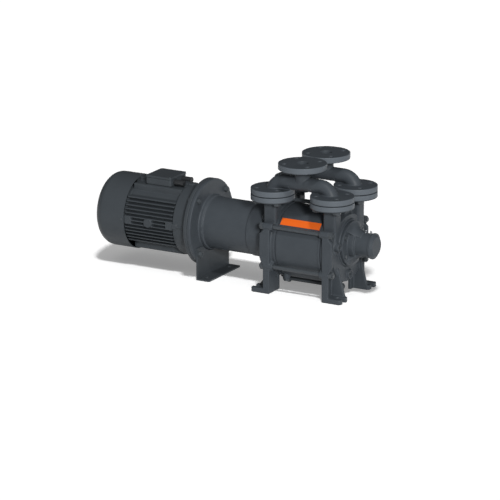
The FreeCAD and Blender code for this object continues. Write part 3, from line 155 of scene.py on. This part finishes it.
MATERIALS = {
    # Grey cast iron from a sand mould under dark grey enamel: a satin skin with a fine sandy grain.
    "cast_paint": finish("enamel_on_sand_cast_iron", "#42474C", 0.45, specular=0.15, shade="#3B4045",
                         shade_mm=45, bumps=((2.2, 0.10), (14, 0.5))),
    # Die-cast aluminium under the same enamel: smoother, with only a slight waviness.
    "motor_paint": finish("enamel_on_die_cast_aluminium", "#3E4347", 0.42, specular=0.15, shade="#373B3F",
                          shade_mm=60, bumps=((3.0, 0.04), (25, 0.3))),
    # Pressed sheet steel under enamel: flat, with the soft orange peel of sprayed paint.
    "sheet_paint": finish("enamel_on_pressed_steel", "#3E4347", 0.4, specular=0.15, shade="#393D41",
                          shade_mm=80, bumps=((4.0, 0.03),)),
    # Machined steel fasteners painted over with the pump: a thin, smooth coat.
    "fastener_paint": finish("enamel_on_steel_fasteners", "#44494D", 0.38, specular=0.25, shade="#3D4145",
                             shade_mm=12, bumps=((1.2, 0.03),)),
    # Zinc-plated steel: a bright, slightly bluish grey with a soft sheen.
    "zinc_steel": finish("zinc_plated_steel", "#B4B8BC", 0.34, metallic=1.0, shade="#A4A8AC", shade_mm=6,
                         bumps=((0.8, 0.01),)),
    # Through-hardened bearing steel, ground and polished: nearly a mirror.
    "bearing_steel": finish("ground_bearing_steel", "#C4C6C8", 0.16, metallic=1.0, shade="#BCBEC0",
                            shade_mm=10),
    # Turned carbon steel: bright, with the fine haze of tool marks.
    "shaft_steel": finish("turned_carbon_steel", "#B0B2B4", 0.3, metallic=1.0, shade="#A4A6A8", shade_mm=9,
                          bumps=((0.6, 0.01),)),
    # Machined grey iron left bare: darker and duller than steel.
    "bare_cast": finish("machined_grey_iron", "#8A8C8E", 0.45, metallic=1.0, shade="#7C7E80", shade_mm=8,
                        bumps=((0.9, 0.02),)),
    # Tin bronze from a shell mould: a warm brown gold, dull between the machined edges.
    "bronze": finish("cast_tin_bronze", "#B08A52", 0.4, metallic=1.0, shade="#A07C46", shade_mm=15,
                     bumps=((1.5, 0.05),)),
    # Enamelled copper wire under varnish: a red brown with a glossy skin.
    "copper": finish("varnished_copper_wire", "#8C4A2A", 0.32, metallic=0.6, shade="#7A3E22", shade_mm=6,
                     bumps=((1.4, 0.2),), coat=0.6),
    # Stacked electrical steel: grey, with a dull oxide skin.
    "lamination": finish("stacked_electrical_steel", "#6E7074", 0.48, metallic=1.0, shade="#5E6064",
                         shade_mm=8, bumps=((0.7, 0.04),)),
    # Compressed fibre gasket sheet: matt grey green, a little furry at its edge.
    "gasket": finish("compressed_fibre_sheet", "#3A3F3E", 0.85, specular=0.3, shade="#323736", shade_mm=5,
                     bumps=((0.8, 0.06),)),
    # Sintered silicon carbide: black grey with a lapped sheen.
    "ceramic": finish("lapped_silicon_carbide", "#33363A", 0.22, specular=0.6, shade="#2C2F33", shade_mm=6),
    # Cast polyurethane: a dense, slightly waxy red.
    "spider": finish("cast_polyurethane", "#A8261E", 0.45, shade="#94201A", shade_mm=12,
                     bumps=((1.5, 0.03),)),
    # Glass-filled polyamide: black, with a faint moulded grain.
    "plastic": finish("moulded_polyamide", "#26282A", 0.5, specular=0.45, shade="#202224", shade_mm=10,
                      bumps=((0.9, 0.04),)),
    # Printed vinyl film on the body: a flat strong orange with a low sheen.
    "label": finish("printed_vinyl_film", "#E4641A", 0.42, specular=0.4, shade="#DC5E16", shade_mm=30),
}

# The rims of the port flanges get a painted highlight, a paler colour in the cast enamel
painted_rim_highlight(MATERIALS["cast_paint"], "#585E64")

# Which finish each piece has: its material slot in the record, except that the screws of the cowl are
# painted over with it
SLOTS = {
    "cast_paint": ("drive_end_casing", "free_end_casing", "centre_body", "drive_port_plate",
                   "free_port_plate", "suction_manifold", "discharge_manifold", "free_bearing_housing",
                   "drive_bearing_housing", "free_end_cap", "drive_end_cover", "lantern"),
    "fastener_paint": ("tie_rods", "tie_rod_nuts", "flange_screws", "bracket_screws", "service_liquid_plug",
                       "casing_drain_plugs", "body_drain_plug", "lantern_screws", "motor_flange_bolts",
                       "motor_flange_nuts", "shield_screws", "cowl_screws"),
    "motor_paint": ("motor_housing", "motor_front_shield", "motor_rear_shield", "terminal_box",
                    "terminal_lid"),
    "sheet_paint": ("support_foot", "fan_cowl"),
    "zinc_steel": ("grease_nipples", "terminal_lid_screws", "bearing_locknut", "seal_heads"),
    "bearing_steel": ("bearing_outer_rings", "motor_bearing_outer_rings", "bearing_inner_rings",
                      "bearing_balls", "motor_bearing_inner_rings", "motor_bearing_balls"),
    "shaft_steel": ("pump_shaft", "impeller_key", "motor_shaft", "motor_key"),
    "bare_cast": ("pump_coupling_hub", "motor_coupling_hub"),
    "lamination": ("stator_core", "rotor_core"),
    "plastic": ("terminal_block", "cable_entry_plugs", "cooling_fan"),
    "gasket": ("flange_gaskets",),
    "label": ("label_plate",),
    "ceramic": ("seal_seats",),
    "copper": ("stator_windings",),
    "bronze": ("impeller",),
    "spider": ("coupling_spider",),
}
SLOT_OF = {node: slot for slot, members in SLOTS.items() for node in members}


# Pieces made from the CAD skins

JOIN_MM = 0.002
# The sharpest angle in degrees that is shaded smooth
CAST_CREASE, CUT_CREASE, FASTENER_CREASE = 60, 35, 28


def link(mesh, name):
    """Puts a mesh in the scene under a name."""
    piece = bpy.data.objects.new(name, mesh)
    bpy.context.scene.collection.objects.link(piece)
    return piece


def joined_skin(node):
    """A copy of a CAD node's mesh with its loose triangles joined at their corners."""
    mesh = bpy.data.meshes.new(node + "_skin")
    work = bmesh.new()
    work.from_mesh(frame["nodes"][node].data)
    bmesh.ops.remove_doubles(work, verts=work.verts, dist=JOIN_MM * MM)
    work.to_mesh(mesh)
    work.free()
    return mesh


def evaluated(piece, name):
    """The piece with its modifiers applied, as a plain mesh object; the worked one is removed."""
    graph = bpy.context.evaluated_depsgraph_get()
    mesh = bpy.data.meshes.new_from_object(piece.evaluated_get(graph))
    mesh.name = name
    bpy.data.objects.remove(piece)
    return link(mesh, name)


def crease(mesh, degrees):
    """Smooth shading that keeps edges sharper than an angle."""
    work = bmesh.new()
    work.from_mesh(mesh)
    limit = math.radians(degrees)
    for face in work.faces:
        face.smooth = True
    for edge in work.edges:
        edge.smooth = len(edge.link_faces) == 2 and edge.calc_face_angle(0) < limit
    work.to_mesh(mesh)
    work.free()


def kept_inside(mesh, node):
    """Moves points that stand proud of the CAD node's box back onto it."""
    low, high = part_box(node)
    for vertex in mesh.vertices:
        vertex.co = [min(max(value, low[axis]), high[axis]) for axis, value in enumerate(vertex.co)]


def stands_for(piece, node):
    """The piece takes the material of its node's slot and its node's body; the node is hidden."""
    slot = SLOT_OF[node]
    piece.data.materials.clear()
    piece.data.materials.append(MATERIALS[slot])
    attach(piece, frame["nodes"][node]["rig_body"])
    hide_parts(node)


def cast_piece(node, voxel_mm, passes, share):
    """A casting: the CAD skin with every edge and corner worn round, as it leaves the sand."""
    piece = link(joined_skin(node), node + "_rough")
    skin = piece.modifiers.new("skin", "REMESH")
    skin.mode = "VOXEL"
    skin.voxel_size = voxel_mm * MM
    soften = piece.modifiers.new("soften", "SMOOTH")
    soften.iterations = passes
    soften.factor = 0.5
    thin = piece.modifiers.new("thin", "DECIMATE")
    thin.ratio = share
    piece = evaluated(piece, node + "_casting")
    kept_inside(piece.data, node)
    crease(piece.data, CAST_CREASE)
    stands_for(piece, node)


def turned_piece(node):
    """A machined or pressed piece: the CAD skin with smooth rounds and sharp edges."""
    piece = link(joined_skin(node), node + "_piece")
    crease(piece.data, CUT_CREASE)
    stands_for(piece, node)


# The castings, each with its voxels' size in mm, its smoothing passes and the share of faces kept
CASTINGS = {
    "drive_end_casing": (2.0, 3, 0.35), "free_end_casing": (2.0, 3, 0.35), "centre_body": (2.0, 3, 0.3),
    "suction_manifold": (1.8, 3, 0.35), "discharge_manifold": (1.8, 3, 0.35),
    "free_bearing_housing": (1.5, 3, 0.4), "drive_bearing_housing": (1.5, 3, 0.4), "lantern": (2.2, 2, 0.3),
    "motor_front_shield": (1.6, 2, 0.3), "motor_rear_shield": (1.6, 2, 0.3), "motor_housing": (1.6, 1, 0.3),
    "terminal_box": (1.4, 3, 0.3), "terminal_lid": (1.4, 3, 0.3),
}


# Screws and nuts, one tree for each kind, laid on points that carry the way each one looks

TWIST_SEED = 7
HEX_SIDES, CONE_SIDES, BAR_SIDES = 6, 36, 24
# The cone that turns a head's corners off: how high it starts over the seat and how far under it it ends,
# both in heights of the head, its slope, and its radius at the head's top as a share of the corners' radius
CONE_RISE, CONE_DROP, CONE_SLOPE, CONE_TOP = 1.05, 1.0, 1.732, 0.86
# Which points of a CAD fastener belong to its head, by their share of its radius, and which to its tip, by
# their distance from it
HEAD_SHARE, TIP_MM = 0.9, 0.1


def moved(tree, shape, height):
    """A shape moved along its own axis."""
    step = add(tree, "ShaderNodeCombineXYZ", {"Z": height})
    return add(tree, "GeometryNodeTransform", {"Geometry": shape, "Translation": step.outputs[0]}).outputs[0]


def times(tree, value, factor):
    """A number from the tree, multiplied by a factor."""
    return maths(tree, "MULTIPLY", value, factor)


def joined(tree, first, second, operation):
    """Two solids cut to what they share, or made one."""
    both = add(tree, "GeometryNodeMeshBoolean", operation=operation, solver="EXACT")
    for shape in (first, second):
        tree.links.new(shape, both.inputs[1])
    return both.outputs[0]


def hexagon(tree, sizes):
    """A hexagonal prism on the seat, its outer corners turned off at thirty degrees."""
    head = sizes["Head"]
    prism = add(tree, "GeometryNodeMeshCylinder", {
        "Vertices": HEX_SIDES, "Radius": sizes["Corner"], "Depth": head,
    })
    prism = moved(tree, prism.outputs[0], times(tree, head, 0.5))
    top = maths(tree, "MULTIPLY_ADD", head, (1 - CONE_RISE) * CONE_SLOPE,
                times(tree, sizes["Corner"], CONE_TOP))
    foot = maths(tree, "MULTIPLY_ADD", head, (CONE_RISE + CONE_DROP) * CONE_SLOPE, top)
    cone = add(tree, "GeometryNodeMeshCone", {
        "Vertices": CONE_SIDES, "Radius Top": top, "Radius Bottom": foot,
        "Depth": times(tree, head, CONE_RISE + CONE_DROP),
    })
    cone = moved(tree, cone.outputs[0], times(tree, head, -CONE_DROP))
    return joined(tree, prism, cone, "INTERSECT")


def bar(tree, radius, length, height):
    """A round bar whose middle lies at a height."""
    made = add(tree, "GeometryNodeMeshCylinder", {"Vertices": BAR_SIDES, "Radius": radius, "Depth": length})
    return moved(tree, made.outputs[0], height)


def hex_screw(tree, sizes):
    """A hexagon head with its shank, which reaches from the head's middle to its length below the seat."""
    half = times(tree, sizes["Head"], 0.5)
    reach = maths(tree, "MULTIPLY_ADD", sizes["Head"], 0.5, sizes["Length"])
    middle = times(tree, maths(tree, "SUBTRACT", half, sizes["Length"]), 0.5)
    return joined(tree, hexagon(tree, sizes), bar(tree, sizes["Shank"], reach, middle), "UNION")


def hex_nut(tree, sizes):
    """A hexagon nut with its bore."""
    bore = bar(tree, sizes["Shank"], times(tree, sizes["Head"], 3.0), times(tree, sizes["Head"], 0.5))
    cut = add(tree, "GeometryNodeMeshBoolean", {0: hexagon(tree, sizes), 1: bore}, operation="DIFFERENCE",
              solver="EXACT")
    return cut.outputs[0]


def fastener_tree(name, shape):
    """A tree that sets one fastener on every point, looking along the point's aim."""
    tree = bpy.data.node_groups.new(name, "GeometryNodeTree")
    sockets = [("Geometry", "Geometry")] + [(size, "Float") for size in ("Corner", "Head", "Shank", "Length")]
    for socket, kind in sockets + [("Seed", "Int"), ("Material", "Material")]:
        tree.interface.new_socket(socket, in_out="INPUT", socket_type="NodeSocket" + kind)
    tree.interface.new_socket("Geometry", in_out="OUTPUT", socket_type="NodeSocketGeometry")
    given = tree.nodes.new("NodeGroupInput").outputs
    aim = add(tree, "GeometryNodeInputNamedAttribute", {"Name": "aim"}, data_type="FLOAT_VECTOR")
    look = add(tree, "FunctionNodeAlignRotationToVector", {"Vector": aim.outputs[0]}, axis="Z")
    angle = add(tree, "FunctionNodeRandomValue", {2: 0.0, 3: math.tau, "Seed": given["Seed"]},
                data_type="FLOAT")
    twist = add(tree, "FunctionNodeAxisAngleToRotation", {"Axis": (0, 0, 1), "Angle": angle.outputs[1]})
    turn = add(tree, "FunctionNodeRotateRotation", {
        "Rotation": look.outputs[0], "Rotate By": twist.outputs[0],
    }, rotation_space="LOCAL")
    laid = add(tree, "GeometryNodeInstanceOnPoints", {
        "Points": given["Geometry"], "Instance": shape(tree, given), "Rotation": turn.outputs[0],
    })
    solid = add(tree, "GeometryNodeRealizeInstances", {"Geometry": laid.outputs[0]})
    painted = add(tree, "GeometryNodeSetMaterial", {
        "Geometry": solid.outputs[0], "Material": given["Material"],
    })
    tree.links.new(painted.outputs[0], tree.nodes.new("NodeGroupOutput").inputs[0])
    return tree


def solid_middle(solid):
    """The middle of the box round a solid's points."""
    return [(min(point[axis] for point in solid) + max(point[axis] for point in solid)) / 2
            for axis in range(3)]


def islands(node):
    """The separate solids of a CAD node, each as its points, in the order of their middles."""
    work = bmesh.new()
    mesh = joined_skin(node)
    work.from_mesh(mesh)
    left = set(work.verts)
    found = []
    while left:
        border = [left.pop()]
        solid = []
        while border:
            here = border.pop()
            solid.append(here.co.copy())
            near = {side.other_vert(here) for side in here.link_edges} & left
            left -= near
            border += near
        found.append(solid)
    work.free()
    bpy.data.meshes.remove(mesh)
    return sorted(found, key=lambda solid: tuple(round(value, 4) for value in solid_middle(solid)))


def measured(solid, axis, outward):
    """Where one fastener sits, the way its head looks (found from its shape if not given), and its sizes."""
    middle = Vector(solid_middle(solid))
    across = {}
    for point in solid:
        offset = point - middle
        offset[axis] = 0
        across[point.freeze()] = offset.length
    corner = max(across.values())
    low, high = min(point[axis] for point in solid), max(point[axis] for point in solid)
    head = [point[axis] for point, far in across.items() if far > HEAD_SHARE * corner]
    if outward is None:
        outward = 1 if high - max(head) < min(head) - low else -1
    seat, tip = (min(head), low) if outward > 0 else (max(head), high)
    ends = [far for point, far in across.items() if abs(point[axis] - tip) < TIP_MM * MM]
    shank = max(ends) if abs(tip - seat) > MM else min(across.values())
    middle[axis] = seat
    aim = Vector((0, 0, 0))
    aim[axis] = outward
    return middle, aim, {"Corner": corner, "Head": max(head) - min(head), "Shank": shank,
                         "Length": abs(tip - seat)}


def away_from_middle(solid):
    """Outward along X for a solid at either end."""
    return 1 if solid_middle(solid)[0] > 0 else -1


def fasteners(node, tree, axis, outward):
    """A CAD node's screws or nuts, each remade in its own place by a tree, all in the size of the first."""
    places = [measured(solid, axis, outward(solid) if callable(outward) else outward)
              for solid in islands(node)]
    mesh = bpy.data.meshes.new(node + "_places")
    mesh.from_pydata([place for place, aim, sizes in places], [], [])
    aims = mesh.attributes.new("aim", "FLOAT_VECTOR", "POINT")
    for number, (place, aim, sizes) in enumerate(places):
        aims.data[number].vector = aim
    piece = link(mesh, node + "_laid")
    laid = piece.modifiers.new("laid", "NODES")
    laid.node_group = tree
    sockets = {item.name: item.identifier for item in tree.interface.items_tree if item.in_out == "INPUT"}
    given = dict(places[0][2], Seed=TWIST_SEED, Material=MATERIALS[SLOT_OF[node]])
    for name, value in given.items():
        laid[sockets[name]] = value
    piece = evaluated(piece, node + "_set")
    crease(piece.data, FASTENER_CREASE)
    stands_for(piece, node)


SCREW_TREE = fastener_tree("hexagon_screws", hex_screw)
NUT_TREE = fastener_tree("hexagon_nuts", hex_nut)
ALONG_X, ALONG_Z = 0, 2
# Each set's tree, the axis it lies along, and which way it looks, where its shape doesn't tell
FASTENERS = {
    "flange_screws": (SCREW_TREE, ALONG_Z, None), "bracket_screws": (SCREW_TREE, ALONG_X, None),
    "lantern_screws": (SCREW_TREE, ALONG_X, None), "motor_flange_bolts": (SCREW_TREE, ALONG_X, None),
    "shield_screws": (SCREW_TREE, ALONG_X, None), "body_drain_plug": (SCREW_TREE, ALONG_Z, None),
    "tie_rod_nuts": (NUT_TREE, ALONG_X, away_from_middle), "motor_flange_nuts": (NUT_TREE, ALONG_X, 1),
}

for node in sorted(frame["nodes"]):
    if node in CASTINGS:
        cast_piece(node, *CASTINGS[node])
    elif node in FASTENERS:
        fasteners(node, *FASTENERS[node])
    else:
        turned_piece(node)


# Floor, light and camera

WHITE = (1, 1, 1, 1)
# The floor's width and how far it lies under the feet, in metres
FLOOR_SIZE, FLOOR_DROP = 60, 0.5 * MM
# How far from upright the floor takes light and how softly that ends, and the white it gives off where it is
# seen; the front lamp shines too low to be taken, so that only the key lamp throws a shadow
LIT_REACH, LIT_EDGE, FLOOR_GLOW = 0.45, 0.02, 0.27
# The grey that the floor has for the light it throws back up
FLOOR_GREY = (0.6, 0.6, 0.6, 1)
# The surround's brightness from its darkest to its palest direction, the azimuth of the palest, and where on
# the way between them it starts and stops rising
SURROUND, PALEST, RISE = (0.05, 0.36), 30, (-0.6, 0.8)


def towards(azimuth, elevation):
    """The unit vector from the object towards an azimuth and elevation in degrees."""
    a, e = math.radians(azimuth), math.radians(elevation)
    return Vector((math.sin(a) * math.cos(e), -math.cos(a) * math.cos(e), math.sin(e)))


def seen_rays(tree):
    """One for the camera's rays and for those that gloss and glass send on, else nought."""
    path = add(tree, "ShaderNodeLightPath")
    seen = path.outputs["Is Camera Ray"]
    for ray in ("Is Glossy Ray", "Is Transmission Ray"):
        seen = maths(tree, "MAXIMUM", seen, path.outputs[ray])
    return seen


def floor():
    """A pale floor that keeps the shadow; the camera, gloss and glass see it white round the shadow."""
    bpy.ops.mesh.primitive_plane_add(size=FLOOR_SIZE, location=(0, 0, -FLOOR_DROP))
    piece = bpy.context.object
    piece.name = "studio_floor"
    material = bpy.data.materials.new("matt_white_floor")
    material.use_nodes = True
    tree = material.node_tree
    tree.nodes.clear()
    lit = add(tree, "ShaderNodeBsdfToon", {"Color": WHITE, "Size": LIT_REACH, "Smooth": LIT_EDGE},
              component="DIFFUSE")
    lift = add(tree, "ShaderNodeEmission", {"Color": WHITE, "Strength": FLOOR_GLOW})
    pale = add(tree, "ShaderNodeAddShader", {0: lit.outputs[0], 1: lift.outputs[0]})
    plain = add(tree, "ShaderNodeBsdfDiffuse", {"Color": FLOOR_GREY})
    shown = add(tree, "ShaderNodeMixShader", {0: seen_rays(tree), 1: plain.outputs[0], 2: pale.outputs[0]})
    add(tree, "ShaderNodeOutputMaterial", {"Surface": shown.outputs[0]})
    piece.data.materials.append(material)


def studio():
    """A soft surround, paler before the object than behind it, that the camera sees white."""
    world = bpy.data.worlds.new("studio")
    bpy.context.scene.world = world
    world.use_nodes = True
    tree = world.node_tree
    tree.nodes.clear()
    way = add(tree, "ShaderNodeTexCoord")
    ahead = add(tree, "ShaderNodeVectorMath", {0: way.outputs["Generated"], 1: towards(PALEST, 0)},
                operation="DOT_PRODUCT")
    level = add(tree, "ShaderNodeMapRange", {
        "Value": ahead.outputs["Value"], "From Min": RISE[0], "From Max": RISE[1],
        "To Min": SURROUND[0], "To Max": SURROUND[1],
    })
    soft = add(tree, "ShaderNodeBackground", {"Color": WHITE, "Strength": level.outputs[0]})
    white = add(tree, "ShaderNodeBackground", {"Color": WHITE, "Strength": 1.0})
    path = add(tree, "ShaderNodeLightPath")
    shown = add(tree, "ShaderNodeMixShader", {
        0: path.outputs["Is Camera Ray"], 1: soft.outputs[0], 2: white.outputs[0],
    })
    add(tree, "ShaderNodeOutputWorld", {"Surface": shown.outputs[0]})


def lamp(name, azimuth, elevation, strength, spread):
    """A far lamp that shines from an azimuth and elevation, counted as the camera's are, in degrees."""
    data = bpy.data.lights.new(name, "SUN")
    data.energy = strength
    data.angle = math.radians(spread)
    piece = bpy.data.objects.new(name, data)
    bpy.context.scene.collection.objects.link(piece)
    piece.rotation_euler = (-towards(azimuth, elevation)).to_track_quat("-Z", "Y").to_euler()


def camera(azimuth, elevation, aim, width, lens):
    """A long lens in mm that frames a width in metres at the aimed point."""
    data = bpy.data.cameras.new("camera")
    data.lens = lens
    data.sensor_width = 36
    data.clip_end = 100
    piece = bpy.data.objects.new("camera", data)
    bpy.context.scene.collection.objects.link(piece)
    back = towards(azimuth, elevation)
    piece.location = Vector(aim) + back * (width * lens / data.sensor_width)
    piece.rotation_euler = (-back).to_track_quat("-Z", "Y").to_euler()
    bpy.context.scene.camera = piece


floor()
studio()
lamp("front_lamp", azimuth=42, elevation=20, strength=2.6, spread=10)
lamp("key_lamp", azimuth=34, elevation=60, strength=1.0, spread=6)
camera(azimuth=29.5, elevation=16, aim=(-0.2491, 0, 0.1014), width=1.710, lens=300)
bpy.context.scene.view_settings.view_transform = "Standard"
